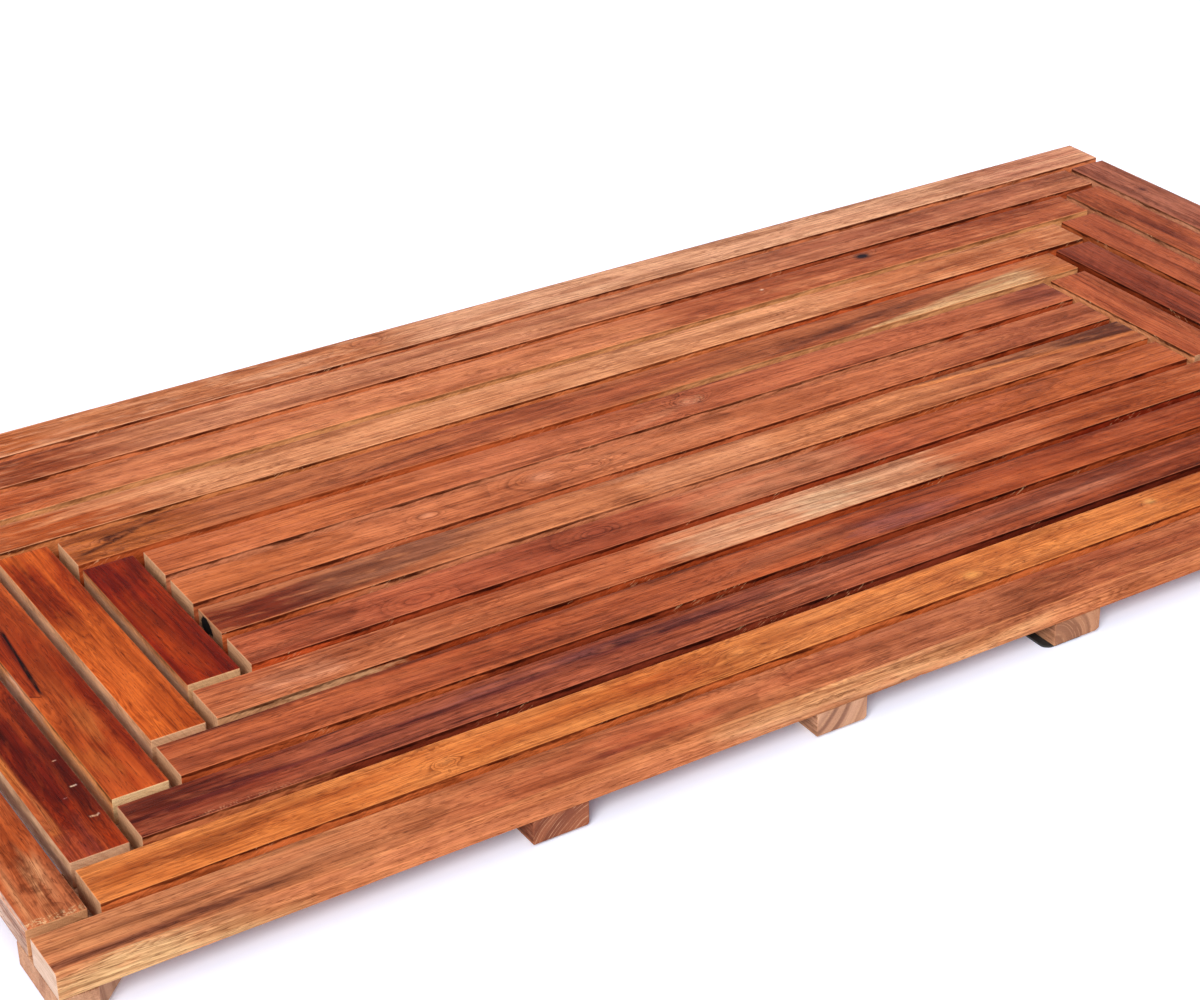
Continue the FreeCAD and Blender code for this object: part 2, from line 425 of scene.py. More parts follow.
    def gap_colour(self):
        """The sawn faces in the gaps: dark under the top edge, with pale torn strands."""
        look, along, up, murk = self.look, self.along, self.up, self.murk
        # painted light: the gap faces are mixed brighter than their colour, against the shade of the gap
        side = oiled(*look["side"], GAP_LIFT)
        for tone, span, strength in look["sides"]:
            share = between(along + (self.rub - 0.5) * 40, span, 50) * strength
            side = self.blend(share, side, oiled(*tone, GAP_LIFT))
        side = self.multiply(self.saw.step(0.40, 0.62) * (self.rub * 0.40 + 0.12), side, (0.42, 0.34, 0.29))
        side = self.multiply(self.rub * 0.60, side, (0.60, 0.50, 0.42))
        side = self.multiply(murk.step(0.45, 0.64) * look["murk"], side, (0.30, 0.21, 0.17))
        # painted light: the lower half of a gap face is lightened, against the shade deep in the gap
        side = self.blend(up.step(5.0, 0.0) * look["deep"], side, oiled(255, 226, 196, 1.9))
        lip = (up + (murk - 0.5) * 5).step(5.2, 6.2) * (self.rub * 0.25 + 0.75) * look["lip"]
        side = self.multiply(lip, side, (0.16, 0.085, 0.06))
        torn = self.noise(along / 34, self.seed, self.across / 9, 1.0).step(0.53, 0.66)
        return self.blend(torn * self.saw.step(0.42, 0.30) * 0.62, side, oiled(226, 176, 132))

    def end_colour(self):
        """The sawn ends of a slat."""
        # painted light: the ends are mixed brighter than their colour
        raw = oiled(*self.look["ends"], END_LIFT)
        raw = self.multiply(self.late * 0.55, raw, (0.62, 0.50, 0.44))
        raw = self.multiply(self.saw.step(0.34, 0.66) * 0.50, raw, (0.70, 0.62, 0.58))
        return self.multiply(self.speck * 0.45, raw, (0.45, 0.36, 0.32))

    def batten_end_colour(self):
        """The ends of a batten, where the growth rings show as light lines."""
        line = self.phase.step(0.72, 0.86) * (1 - self.phase.step(0.94, 1.0)) * (self.each * 0.5 + 0.5)
        raw = self.multiply(self.band * self.look["bands"], self.plain, self.shade)
        line = line * self.noise(self.across / 7, self.up / 7, self.seed, 2.0).step(0.34, 0.60)
        raw = self.blend(line * self.look["lines"], raw, self.light)
        raw = self.multiply(self.fade * 0.45, raw, (0.66, 0.54, 0.47))
        raw = self.multiply(self.speck * 0.35, raw, (0.55, 0.45, 0.40))
        for share, tone in self.cores:
            raw = self.blend(share, raw, tone)
        return raw

    def pit(self, body):
        """Paints the knot holes black, as painted shade inside them."""
        along, across, up = self.along, self.across, self.up
        for where, side_at, height_at, size in self.look["voids"]:
            hole = hill(along, where, size * 0.7) * hill(across, side_at, size)
            hole = hole * hill(up, height_at, size * 0.7)
            rim = self.noise(across * 0.6, up * 0.6, along * 0.6, 2.0)
            # painted shade: near-black inside the hole
            body = self.blend((hole * 2.2 + rim - 0.9).step(0.0, 0.35), body, (0.012, 0.010, 0.010))
        return body

    def oil(self, body, top_face):
        """The finished surface: smoother on top, with the relief of the grain."""
        sawn = 1 - top_face
        rough = 0.36 + self.fibre * 0.10 + self.pore * 0.12 - self.sheen * 0.05 + sawn * 0.25
        height = self.pore * -0.7 - self.fibre * 0.3 - self.late * 0.3
        height = height + sawn * (self.saw * -3.0 - self.rub * 0.8)
        inputs = {"Strength": 0.5, "Distance": 0.0003, "Height": height}
        bump = self.node("ShaderNodeBump", None, inputs)
        constants = {"Specular IOR Level": 0.07, "IOR": 1.45}
        return self.surface(constants, Base_Color=body, Roughness=rough, Normal=bump)


def planed_teak(name, look, middle, turn, outer):
    """Teak of a slat: oiled on top, sawn in the gaps and at the ends, with a painted highlight on the
    arris.
    """
    f = Teak(name, look, middle, turn, outer)
    colour = f.planed_colour()
    side = f.gap_colour()
    if outer:
        side = f.blend(f.outside, side, colour)
    body = f.blend(f.top_face, side, colour)
    # painted highlight: the slanting faces of the top arris are lightened, as if they caught the light
    worn = f.facing_up.step(0.30, 0.60) * (1 - f.facing_up.step(0.86, 0.97)) * 0.45
    body = f.blend(worn, body, f.light)
    body = f.blend(f.end_face, body, f.end_colour())
    return f.oil(f.pit(body), f.top_face)


def sawn_teak(name, look, middle, turn):
    """Teak of a batten: sawn on every side."""
    f = Teak(name, look, middle, turn)
    side = f.multiply(f.saw.step(0.34, 0.68) * 0.35, f.planed_colour(), (0.62, 0.54, 0.48))
    body = f.blend(f.end_face, side, f.batten_end_colour())
    return f.oil(body, 0.0)


# ------------------------------------------------------------------ geometry trees


class Shape(Tree):
    """A geometry node tree with named inputs."""

    def __init__(self, name):
        group = bpy.data.node_groups.new(name, "GeometryNodeTree")
        super().__init__(group)
        self.identifiers = {}
        self.start = group.nodes.new("NodeGroupInput")

    def ask(self, name, kind, value=None):
        """Adds a named input and returns it as a field."""
        item = self.tree.interface.new_socket(name, in_out="INPUT", socket_type=kind)
        if value is not None:
            item.default_value = value
        self.identifiers[name] = item.identifier
        return Field(self, self.start.outputs[name])

    def end(self, geometry, material):
        real = self.node("GeometryNodeRealizeInstances", None, {0: geometry})
        named = self.node("GeometryNodeSetMaterial", None, {"Geometry": real, "Material": material})
        self.tree.interface.new_socket("Geometry", in_out="OUTPUT", socket_type="NodeSocketGeometry")
        self.node("NodeGroupOutput", None, {0: named})

    def make(self, name, values, base=None):
        """Runs the tree once and returns its result as a plain mesh object."""
        holder = bpy.data.objects.new(name + "_holder", base or bpy.data.meshes.new(name))
        bpy.context.scene.collection.objects.link(holder)
        modifier = holder.modifiers.new("shape", "NODES")
        modifier.node_group = self.tree
        for key, value in values.items():
            modifier[self.identifiers[key]] = value
        bpy.context.view_layer.update()
        graph = bpy.context.evaluated_depsgraph_get()
        mesh = bpy.data.meshes.new_from_object(holder.evaluated_get(graph))
        bpy.data.objects.remove(holder)
        mesh.name = name
        piece = bpy.data.objects.new(name, mesh)
        bpy.context.scene.collection.objects.link(piece)
        return piece


def slat_tree():
    """Planed slat with hand-eased edges, slight wander and small chips."""
    t = Shape("planed_slat")
    size = t.ask("Size", "NodeSocketVector")
    place = t.ask("Place", "NodeSocketVector")
    turn = t.ask("Turn", "NodeSocketRotation")
    steps = t.ask("Steps", "NodeSocketInt", 100)
    arris = t.ask("Arris", "NodeSocketFloat", 0.9 * MM)
    seed = t.ask("Seed", "NodeSocketFloat", 0.0)
    hollow_at = t.ask("Hollow Place", "NodeSocketVector")
    hollow_size = t.ask("Hollow Size", "NodeSocketVector", (0.004, 0.004, 0.004))
    hollow_depth = t.ask("Hollow Depth", "NodeSocketFloat", 0.0)
    material = t.ask("Material", "NodeSocketMaterial")

    wide_steps, high_steps = 13, 9
    inputs = {"Size": size, "Vertices X": steps, "Vertices Y": wide_steps, "Vertices Z": high_steps}
    block = t.node("GeometryNodeMeshCube", None, inputs)
    here = t.node("GeometryNodeInputPosition")
    x, y, z = t.parts(here)
    half = t.vector_maths("SCALE", size)
    half.socket.node.inputs["Scale"].default_value = 0.5

    # edge radius: hand sanding leaves it uneven, and a chip opens it up
    uneven = t.noise(x * 14 + seed, seed, 0.0, 2.0)
    bite = t.noise(x * 130, (y.maths("SIGN") * 3) + seed, z.maths("SIGN") * 5, 1.0).step(0.74, 0.80)
    radius = arris * (0.45 + uneven * 1.1) + bite * (0.9 * MM)

    # the two outer rows of faces on each side take the rounding
    last = t.vector(steps - 1, wide_steps - 1, high_steps - 1)
    flat_share = t.vector_maths("SUBTRACT", (1, 1, 1), t.vector_maths("DIVIDE", (4, 4, 4), last))
    share = t.vector_maths("DIVIDE", t.vector_maths("ABSOLUTE", here), half)
    core = t.vector_maths("SUBTRACT", half, t.vector(radius, radius, radius))
    inner = t.vector_maths("MINIMUM", share, flat_share)
    inner = t.vector_maths("MULTIPLY", t.vector_maths("DIVIDE", inner, flat_share), core)
    rim = t.vector_maths("MAXIMUM", t.vector_maths("SUBTRACT", share, flat_share), (0, 0, 0))
    rim_share = t.vector_maths("SUBTRACT", (1, 1, 1), flat_share)
    rim = t.vector_maths("DIVIDE", rim, rim_share)
    rim = t.vector_maths("MULTIPLY", rim, t.vector(radius, radius, radius))
    side = t.vector_maths("SIGN", here)
    spread = t.vector_maths("MULTIPLY", side, t.vector_maths("ADD", inner, rim))

    # rounding: push what lies past the core back onto an arc
    held = t.vector_maths("MAXIMUM", t.vector_maths("MINIMUM", spread, core),
                          t.vector_maths("MULTIPLY", core, (-1, -1, -1)))
    past = t.vector_maths("NORMALIZE", t.vector_maths("SUBTRACT", spread, held))
    past = t.vector_maths("MULTIPLY", past, t.vector(radius, radius, radius))
    rounded = t.vector_maths("ADD", held, past)

    # slow wander of the sides and fine tool marks, always inwards
    px, py, pz = t.parts(rounded)
    bow = t.noise(px * 4 + seed, seed, 1.0, 1.0)
    marks = t.noise(px * 260, py * 60, pz * 260 + seed, 2.0)
    shrink = 1 - (bow * 0.35 + marks * 0.12) * 0.018
    eased = t.vector(px, py * shrink, pz * (1 - marks * 0.004))

    # a knot hole or a dip
    away = t.vector_maths("DIVIDE", t.vector_maths("SUBTRACT", eased, hollow_at), hollow_size)
    distance = t.node("ShaderNodeVectorMath", {"operation": "LENGTH"}, {0: away}, "Value")
    ragged = t.noise(py * 500, pz * 500, px * 500, 2.0) * 0.8
    dip = (1 - (distance + ragged).step(0.55, 1.35)) * hollow_depth
    normal = t.node("GeometryNodeInputNormal")
    sunk = t.vector_maths("SUBTRACT", eased, t.vector_maths("MULTIPLY", normal, t.vector(dip, dip, dip)))

    moved = t.node("GeometryNodeSetPosition", None, {"Geometry": block, "Position": sunk})
    inputs = {"Geometry": moved, "Translation": place, "Rotation": turn}
    placed = t.node("GeometryNodeTransform", None, inputs)
    smooth = t.node("GeometryNodeSetShadeSmooth", None, {"Geometry": placed})
    t.end(smooth, material)
    return t


# ------------------------------------------------------------------ pieces

# each slat as it was sawn: colours, heart, drift, taper, ring, then the strengths, as in plank()
SLATS = {
    "slat_front_1": plank(
        (190, 106, 68), (206, 134, 88), (134, 66, 50), (-3, -44), 3, 0.030, 3.6, 0.35, 0.50, 0.45, 0.5, 0.8,
        outside=(214, 132, 84),
        outsides=(((255, 206, 146), (-530, -400), 0.9), ((255, 188, 130), (-130, 40), 0.85)),
        ends=(184, 158, 138), shadows=0.65,
        seed=1.3, crinkles=((-82, 24, 12),), patches=(
            patch((212, 140, 92), (-530, -330), 120, strength=0.85),
            patch((122, 68, 52), (-530, -392), 50, (-13, -8), 3, 0.02, 0.8, 0.5),
            patch((134, 78, 56), (-480, -380), 60, (0, 3), 3, 0.03, 0.5, 0.5),
            patch((120, 50, 38), (-226, -176), 20, (-9, -3), 4, 0.10, 0.75),
            patch((156, 66, 42), (-206, -140), 30, (-5, 8), 6, 0.0, 0.6),
            patch((214, 118, 70), (-176, -134), 20, (4, 13), 5, 0.0, 0.5),
            patch((205, 115, 72), (-205, -150), 30, (-3, 3), 4, 0.0, 0.6),
            patch((168, 74, 48), (-104, -58), 26, (-6, 13), 6, 0.0, 0.6),
            patch((204, 122, 82), (-110, 40), 60, strength=0.6),
            patch((180, 92, 56), (60, 520), 120, strength=0.6))),
    "slat_front_2": plank(
        (208, 116, 57), (226, 143, 80), (168, 78, 40), (40, -20), 4, 0.004, 2.6, 0.25, 0.35, 0.40, 0.6,
        side=(182, 98, 54), seed=2.1,
        knots=((-108, 1, 5, (238, 150, 84), 0.6), (-284, -2, 5, (226, 142, 78), 0.5),
               (42, -4, 5, (246, 172, 92), 0.6), (178, 4, 4, (246, 178, 104), 0.6)),
        crinkles=((-280, 20, 9), (-130, 16, 8), (172, 12, 6)), patches=(
            patch((170, 74, 38), (-176, -124), 30, (-12, 14), 8, strength=0.6),
            patch((172, 78, 36), (14, 34), 12, (-12, 6), 8, strength=0.5),
            patch((214, 134, 82), (-100, 70), 90, strength=0.4),
            patch((150, 92, 68), (166, 182), 12, (-5, 7), 6, strength=0.5),
            patch((194, 106, 56), (170, 480), 90, strength=0.7))),
    "slat_front_3": plank(
        (168, 84, 52), (186, 106, 76), (104, 48, 38), (36, -14), 5, 0.004, 3.2, 0.6, 0.45, 0.75, 0.5,
        side=(104, 46, 32),
        sides=(((206, 126, 80), (-440, -345), 0.8), ((78, 32, 24), (60, 440), 0.8)), seed=3.7,
        patches=(
            patch((124, 50, 34), (-450, -330), 90, strength=0.85),
            patch((134, 66, 52), (-330, -130), 60, strength=0.6),
            patch((150, 92, 84), (-260, -90), 60, (2, 9), 5, 0.01, 0.55),
            patch((92, 38, 38), (-430, 60), 60, (-3, 2), 4, 0.010, 0.75),
            patch((196, 122, 92), (-60, 190), 60, (-2, 7), 6, -0.01, 0.65),
            patch((74, 28, 24), (-412, -300), 30, (8.5, 10), 1.4, 0.045, 0.7, 0.4),
            patch((220, 160, 118), (-404, -352), 20, (-16, -12.5), 2, 0.0, 0.5, 0.3, True),
            patch((146, 64, 34), (200, 450), 90, strength=0.75))),
    "slat_front_4": plank(
        (174, 85, 50), (190, 106, 68), (124, 50, 37), (30, -40), 5, 0.004, 2.8, 0.35, 0.40, 0.50, 0.6,
        side=(120, 52, 32),
        sides=(((172, 88, 50), (-400, -230), 0.8), ((150, 70, 38), (150, 400), 0.7)), seed=4.2,
        patches=(
            patch((96, 44, 34), (-390, 400), 30, (12.2, 20), 1.6, 0.0, 0.6),
            patch((132, 78, 74), (14, 82), 26, (-14, 3), 7, strength=0.7),
            patch((200, 128, 90), (-60, 8), 40, (-6, 8), 7, strength=0.5),
            patch((148, 65, 34), (160, 400), 90, strength=0.75))),
    "slat_front_5": plank(
        (192, 105, 66), (208, 128, 86), (150, 74, 47), (52, -10), 4, 0.004, 2.6, 0.40, 0.45, 0.45, 0.6,
        side=(140, 62, 34),
        sides=(((255, 200, 148), (-400, -260), 0.95), ((106, 34, 18), (190, 380), 0.8)), seed=5.5,
        patches=(
            patch((228, 158, 122), (-326, -286), 24, (-10, 6), 7, strength=0.6),
            patch((224, 166, 126), (-78, 108), 40, strength=0.85),
            patch((242, 200, 158), (4, 52), 30, (-14, 8), 8, strength=0.7),
            patch((118, 40, 24), (-380, -250), 20, (11.6, 13.2), 1.2, strength=0.7, ragged=0.2),
            patch((172, 84, 44), (185, 380), 60, strength=0.85))),
    "slat_middle_4": plank(
        (180, 92, 60), (200, 118, 82), (138, 64, 46), (5, -38), 3, 0.036, 3.4, 0.30, 0.50, 0.45, 0.5, 0.8,
        side=(138, 61, 36), sides=(((176, 78, 42), (-345, -270), 0.8),), seed=6.4,
        knots=((-222, -5, 7, (170, 84, 58), 0.3), (-104, 3, 8, (160, 78, 58), 0.3)), patches=(
            patch((206, 136, 98), (-50, 72), 50, strength=0.75),
            patch((150, 72, 48), (-150, -50), 50, strength=0.7),
            patch((110, 40, 24), (-340, -240), 20, (11.6, 13.2), 1.2, strength=0.7, ragged=0.2),
            patch((130, 66, 48), (62, 130), 20, (-12, -8), 3, 0.22, 0.6),
            patch((130, 66, 48), (84, 150), 20, (-14, -11), 3, 0.20, 0.6),
            patch((190, 100, 53), (130, 340), 90, strength=0.75))),
    "slat_middle_3": plank(
        (200, 124, 80), (216, 138, 92), (158, 84, 54), (22, -22), 4, 0.006, 2.8, 0.25, 0.35, 0.35, 0.6,
        side=(162, 84, 48), sides=(((222, 142, 100), (-250, 60), 0.95),), seed=7.7,
        ends=(150, 112, 84), voids=((-324, 5, 1, 6),), patches=(
            patch((176, 100, 66), (-340, -180), 90, strength=0.8),
            patch((146, 92, 68), (-300, -8), 30, (-18, 60), 4, 0.118, 0.92, 0.35),
            patch((118, 44, 28), (-345, -262), 70, strength=0.9),
            patch((184, 110, 72), (-160, -50), 60, strength=0.6),
            patch((170, 94, 60), (170, 340), 60, strength=0.8),
            patch((244, 152, 92), (150, 360), 20, (10.5, 15.5), 2.5, -0.094, 0.95, 0.3),
            patch((104, 58, 44), (150, 360), 20, (14.5, 60), 4, -0.094, 0.92, 0.35),
            patch((226, 156, 114), (-56, 44), 30, strength=0.55))),
    "slat_middle_2": plank(
        (197, 113, 73), (214, 132, 88), (150, 76, 52), (7, -40), 3, 0.034, 3.2, 0.30, 0.45, 0.40, 0.6, 0.8,
        side=(160, 86, 54),
        sides=(((170, 98, 64), (-340, -180), 0.5), ((120, 48, 26), (210, 340), 0.9)), seed=8.9,
        knots=((-173, 0, 4, (226, 150, 110), 0.6), (-95, 4, 8, (222, 146, 108), 0.6),
               (-66, 0, 6, (206, 122, 84), 0.4)),
        crinkles=((-80, 26, 7),), patches=(
            patch((204, 112, 62), (-340, -230), 60, strength=0.6),
            patch((216, 140, 100), (-60, 30), 40, (-8, 8), 8, strength=0.45),
            patch((170, 92, 62), (200, 340), 90, strength=0.8))),
    "slat_middle_1": plank(
        (190, 105, 70), (206, 122, 82), (150, 74, 52), (-34, -18), 5, 0.006, 2.6, 0.40, 0.50, 0.40, 0.6,
        side=(228, 146, 104), sides=(((144, 60, 32), (220, 340), 0.9),), seed=9.2,
        knots=((30, 0, 7, (204, 124, 92), 0.6), (35, -3, 1.6, (96, 46, 34), 0.9)),
        crinkles=((18, 26, 9),), patches=(
            patch((214, 142, 104), (-14, 22), 16, (-12, -4), 5, 0.2, 0.5),
            patch((212, 124, 78), (-250, -130), 50, strength=0.6),
            patch((236, 196, 150), (24, 40), 4, (-3, 5), 3, 0.0, 0.8, 0.4, True),
            patch((60, 28, 18), (-322, -288), 6, (-12.2, -11.2), 0.8, 0.03, 0.9, 0.1),
            patch((204, 112, 62), (-340, -180), 70, strength=0.5),
            patch((138, 70, 54), (285, 345), 50, (-10, 40), 8, strength=0.85))),
    "slat_back_5": plank(
        (176, 95, 62), (200, 124, 80), (118, 56, 38), (30, -20), 6, 0.01, 3.0, 0.50, 0.45, 0.55, 0.5,
        side=(156, 78, 44), sides=(((255, 184, 124), (20, 380), 0.95),), seed=10.6, murk=0.3, lip=0.6,
        knots=((-334, 4, 4, (60, 28, 14), 0.8),), crinkles=((-330, 30, 12),), patches=(
            patch((180, 100, 48), (-375, -290), 50, strength=0.8),
            patch((74, 34, 16), (-358, -318), 10, (-9, -5.5), 3, 0.30, 0.8, 0.5),
            patch((74, 34, 16), (-345, -300), 10, (2, 5), 3, 0.12, 0.8, 0.5),
            patch((110, 54, 36), (-180, 0), 20, (-8, -6.6), 1.6, 0.10, 0.6, 0.3),
            patch((112, 62, 50), (100, 250), 50, (-14, -9), 4, 0.115, 0.55, 0.6),
            patch((255, 204, 148), (172, 332), 40, (-60, -14.5), 3, 0.135, 0.95, 0.5),
            patch((196, 116, 66), (330, 380), 24, strength=0.7))),
    "slat_back_4": plank(
        (215, 143, 99), (228, 163, 118), (188, 112, 74), (44, -18), 3, 0.002, 2.6, 0.30, 0.40, 0.30, 0.5,
        side=(214, 126, 76),
        sides=(((244, 156, 96), (-410, -180), 0.8), ((160, 72, 40), (130, 400), 0.8)), seed=11.4,
        patches=(
            patch((170, 78, 34), (-410, -300), 90, strength=0.95),
            patch((192, 112, 70), (190, 400), 110, strength=0.85))),
    "slat_back_3": plank(
        (208, 126, 84), (220, 142, 98), (166, 86, 62), (-36, -22), 4, 0.01, 3.0, 0.25, 0.35, 0.30, 0.5,
        side=(255, 180, 118), seed=12.8, murk=0.2, lip=0.6, deep=0.12,
        knots=((251, 9, 5.4, (40, 30, 34), 1.5), (162, 2, 1.2, (245, 220, 190), 0.9)), patches=(
            patch((180, 84, 42), (-450, -335), 80, strength=0.85),
            patch((172, 90, 57), (80, 450), 70, strength=0.9))),
    "slat_back_2": plank(
        (208, 136, 96), (222, 152, 112), (152, 84, 60), (32, -24), 5, 0.006, 2.8, 0.50, 0.45, 0.45, 0.5,
        side=(196, 114, 72),
        sides=(((130, 56, 26), (-500, -410), 0.9), ((128, 58, 36), (100, 480), 0.85)), seed=13.1,
        patches=(
            patch((156, 74, 40), (-480, -285), 90, strength=0.88),
            patch((187, 110, 78), (180, 480), 120, strength=0.8))),
    "slat_back_1": plank(
        (222, 162, 124), (234, 178, 140), (190, 122, 92), (-42, -18), 4, 0.004, 2.8, 0.35, 0.45, 0.40, 0.5,
        side=(178, 106, 70), sides=(((255, 176, 96), (-520, -450), 0.9),), outside=(214, 150, 112),
        seed=14.5, knots=((-95, 2, 6, (200, 120, 86), 0.4),), patches=(
            patch((186, 96, 44), (-520, -300), 90, strength=0.95),
            patch((196, 116, 70), (-320, -70), 90, strength=0.8),
            patch((204, 134, 104), (395, 520), 60, strength=0.8))),
    "slat_left_1": plank(
        (176, 90, 52), (206, 128, 84), (122, 54, 34), (10, -30), 5, 0.03, 3.8, 0.45, 0.50, 0.50, 0.5, 2.0,
        ends=(176, 128, 90), outside=(224, 200, 184), seed=15.2, fine=0.7, lip=0.2,
        crinkles=((-190, 30, 10),), patches=(
            patch((222, 160, 112), (-196, -158), 24, (-7, 1), 6, -0.08, 0.8),
            patch((210, 144, 98), (-208, -150), 24, (8, 12), 4, -0.04, 0.6),
            patch((236, 190, 140), (-215, -208), 3, strength=0.8, ragged=0.05, speckled=True),
            patch((196, 92, 42), (-160, 220), 40, strength=0.7))),
    "slat_left_2": plank(
        (146, 50, 22), (176, 78, 38), (80, 22, 11), (28, -18), 7, 0.02, 3.4, 0.5, 0.40, 0.55, 0.5, 2.4,
        side=(168, 136, 108), ends=(184, 146, 114), seed=16.9, fine=0.7, lip=0.2, deep=0.1,
        murk=0.3, crinkles=((-150, 26, 9),), patches=(
            patch((196, 96, 56), (-200, -152), 24, (-4, 18), 8, 0.0, 0.5),
            patch((112, 30, 10), (-132, -40), 36, (-20, 8), 8, 0.04, 0.6),
            patch((64, 14, 6), (-150, 20), 30, (-16, -7), 4, 0.05, 0.6),
            patch((216, 128, 62), (-150, -58), 40, (9, 15.5), 4, 0.02, 0.85, 0.6),
            patch((246, 216, 186), (-120.8, -119.6), 0.6, (-12, -8.5), 1, 0.1, 1.0, 0.02),
            patch((244, 200, 160), (-149, -147.6), 0.8, (-12, -7), 1, 0.0, 0.9, 0.1),
            patch((236, 180, 140), (-95.8, -95), 0.6, (-11.5, -9.5), 1, 0.1, 0.9, 0.02),
            patch((216, 150, 110), (-128, -127.4), 0.6, (-4, -2), 1, 0.1, 0.8, 0.02))),
    "slat_left_3": plank(
        (172, 68, 30), (202, 100, 48), (124, 42, 20), (-2, -30), 8, 0.03, 5.0, 0.45, 0.30, 0.30, 0.7, 3.0,
        side=(176, 118, 72), ends=(216, 184, 138), seed=17.6, fine=0.45, lip=0.8, deep=0.2, murk=0.3,
        sides=(((214, 170, 142), (-42, 0), 0.9),), patches=(
            patch((224, 132, 66), (-88, -54), 26, (-6, 3), 8, strength=0.65),
            patch((206, 112, 50), (-124, -96), 20, (-4, 8), 6, 0.3, 0.5),
            patch((140, 42, 14), (-10, 90), 60, (-12, 16), 8, strength=0.5),
            patch((126, 32, 10), (-200, 0), 60, (-16, -9), 5, 0.0, 0.6),
            # a crack, drawn on the surface with no cut: darker wood along it, and a near-black core that is
            # painted shade inside the crack
            patch((132, 40, 14), (-37, 34), 12, (9.0, 22), 1.5, -0.073, 0.75, 0.12),
            patch((84, 20, 8), (-37, 40), 16, (7.6, 10.0), 2.0, -0.073, 0.8, 0.12),
            patch((34, 8, 5), (-37, 31), 8, (8.1, 9.4), 0.8, -0.073, 1.0, 0.12),
            patch((34, 8, 5), (-27, 0), 14, (7.1, 9.0), 1.2, -0.073, 1.0, 0.12),
            patch((76, 16, 6), (-39.0, -33.6), 1.0, (8.3, 9.9), 0.9, 1.44, 0.95, 0.03))),
    "slat_left_4": plank(
        (190, 84, 34), (212, 106, 46), (150, 54, 22), (34, -16), 3, 0.004, 2.2, 0.35, 0.45, 0.50, 0.6,
        side=(170, 130, 98), ends=(192, 152, 116), seed=18.3, fine=0.6, lip=0.15, deep=0.35,
        murk=0.3, patches=(
            patch((212, 104, 46), (-70, 10), 40, strength=0.5),
            patch((120, 36, 12), (18, 90), 24, (-2, 18), 8, 0.0, 0.6, 0.6),
            patch((146, 48, 20), (28, 100), 30, strength=0.7),
            patch((210, 100, 44), (104, 150), 30, strength=0.5))),
    "slat_left_5": plank(
        (136, 40, 10), (162, 60, 22), (76, 20, 8), (40, -14), 4, 0.006, 3.0, 0.45, 0.35, 0.45, 0.5,
        side=(150, 104, 70), ends=(190, 152, 112), seed=19.8, fine=0.6, lip=0.5, deep=0.3, murk=0.3,
        patches=(
            patch((170, 68, 28), (-58, 30), 30, (-4, 10), 6, 0.04, 0.6),
            patch((88, 22, 8), (40, 80), 24, strength=0.6))),
    "slat_right_5": plank(
        (176, 89, 56), (194, 112, 72), (130, 60, 42), (-44, -16), 3, 0.004, 2.4, 0.40, 0.50, 0.50, 0.5,
        side=(176, 120, 84), ends=(176, 132, 100), seed=20.4),
    "slat_right_4": plank(
        (140, 64, 42), (160, 84, 60), (100, 46, 36), (38, -16), 4, 0.004, 2.8, 0.45, 0.40, 0.50, 0.5,
        side=(96, 42, 26), ends=(150, 108, 84), seed=21.7),
    "slat_right_3": plank(
        (168, 84, 54), (184, 100, 66), (130, 58, 40), (-36, -20), 4, 0.004, 2.8, 0.35, 0.40, 0.40, 0.5,
        side=(132, 70, 42), seed=22.5),
    "slat_right_2": plank(
        (166, 84, 53), (184, 102, 66), (116, 54, 39), (30, -22), 4, 0.006, 2.8, 0.45, 0.40, 0.45, 0.5,
        side=(150, 100, 74), seed=23.9, patches=(
            patch((120, 56, 42), (40, 118), 40, (-2, 4), 4, strength=0.7),
            patch((186, 100, 66), (70, 170), 50, (-20, -3), 6, strength=0.6))),
    "slat_right_1": plank(
        (164, 94, 72), (180, 112, 88), (126, 66, 54), (-34, -24), 5, 0.006, 3.0, 0.35, 0.40, 0.45, 0.5,
        side=(160, 110, 84), outside=(196, 138, 108), seed=24.6,
        knots=((154, -1, 4.2, (90, 50, 44), 0.9),), patches=(
            patch((146, 78, 58), (-40, 92), 40, strength=0.6),
            patch((188, 118, 92), (110, 190), 40, strength=0.5))),
}
# knot holes: place as shares of the half size, how far each reaches and how deep it is, mm
HOLLOWS = {"slat_middle_3": ((-1.0, 0.30, 0.1), (5, 7, 5), 5.0)}
STEP_ALONG = 3.0 * MM      # length of a slat's faces
ARRIS = 0.7 * MM           # radius of its eased edges


def middle_and_size(node):
    low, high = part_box(node)
    return (low + high) / 2, high - low


def make_slats():
    tree = slat_tree()
    slots = {part["node"]: part["material_slot"] for part in frame["record"]["subparts"]}
    outer_sides = {"slat_front_1": -1, "slat_back_1": 1, "slat_left_1": 1, "slat_right_1": -1}
    for node, look in SLATS.items():
        middle, size = middle_and_size(node)
        turn = 0.0
        if size.y > size.x:
            turn = math.pi / 2
            size = Vector((size.y, size.x, size.z))
        finish = planed_teak(node + "_teak", look, middle, turn, outer_sides.get(node, 0))
        values = {"Size": size, "Place": middle, "Turn": (0, 0, turn), "Material": finish}
        values.update({"Steps": int(size.x / STEP_ALONG), "Arris": ARRIS, "Seed": look["seed"]})
        if node in HOLLOWS:
            share, spread, depth = HOLLOWS[node]
            values["Hollow Place"] = [size[i] / 2 * share[i] for i in range(3)]
            values["Hollow Size"] = [s * MM for s in spread]
            values["Hollow Depth"] = depth * MM
        piece = tree.make(node + "_planed", values)
        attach(piece, "root")
        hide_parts(node)


def dress(node, material):
    mesh = frame["nodes"][node].data
    mesh.materials.clear()
    mesh.materials.append(material)


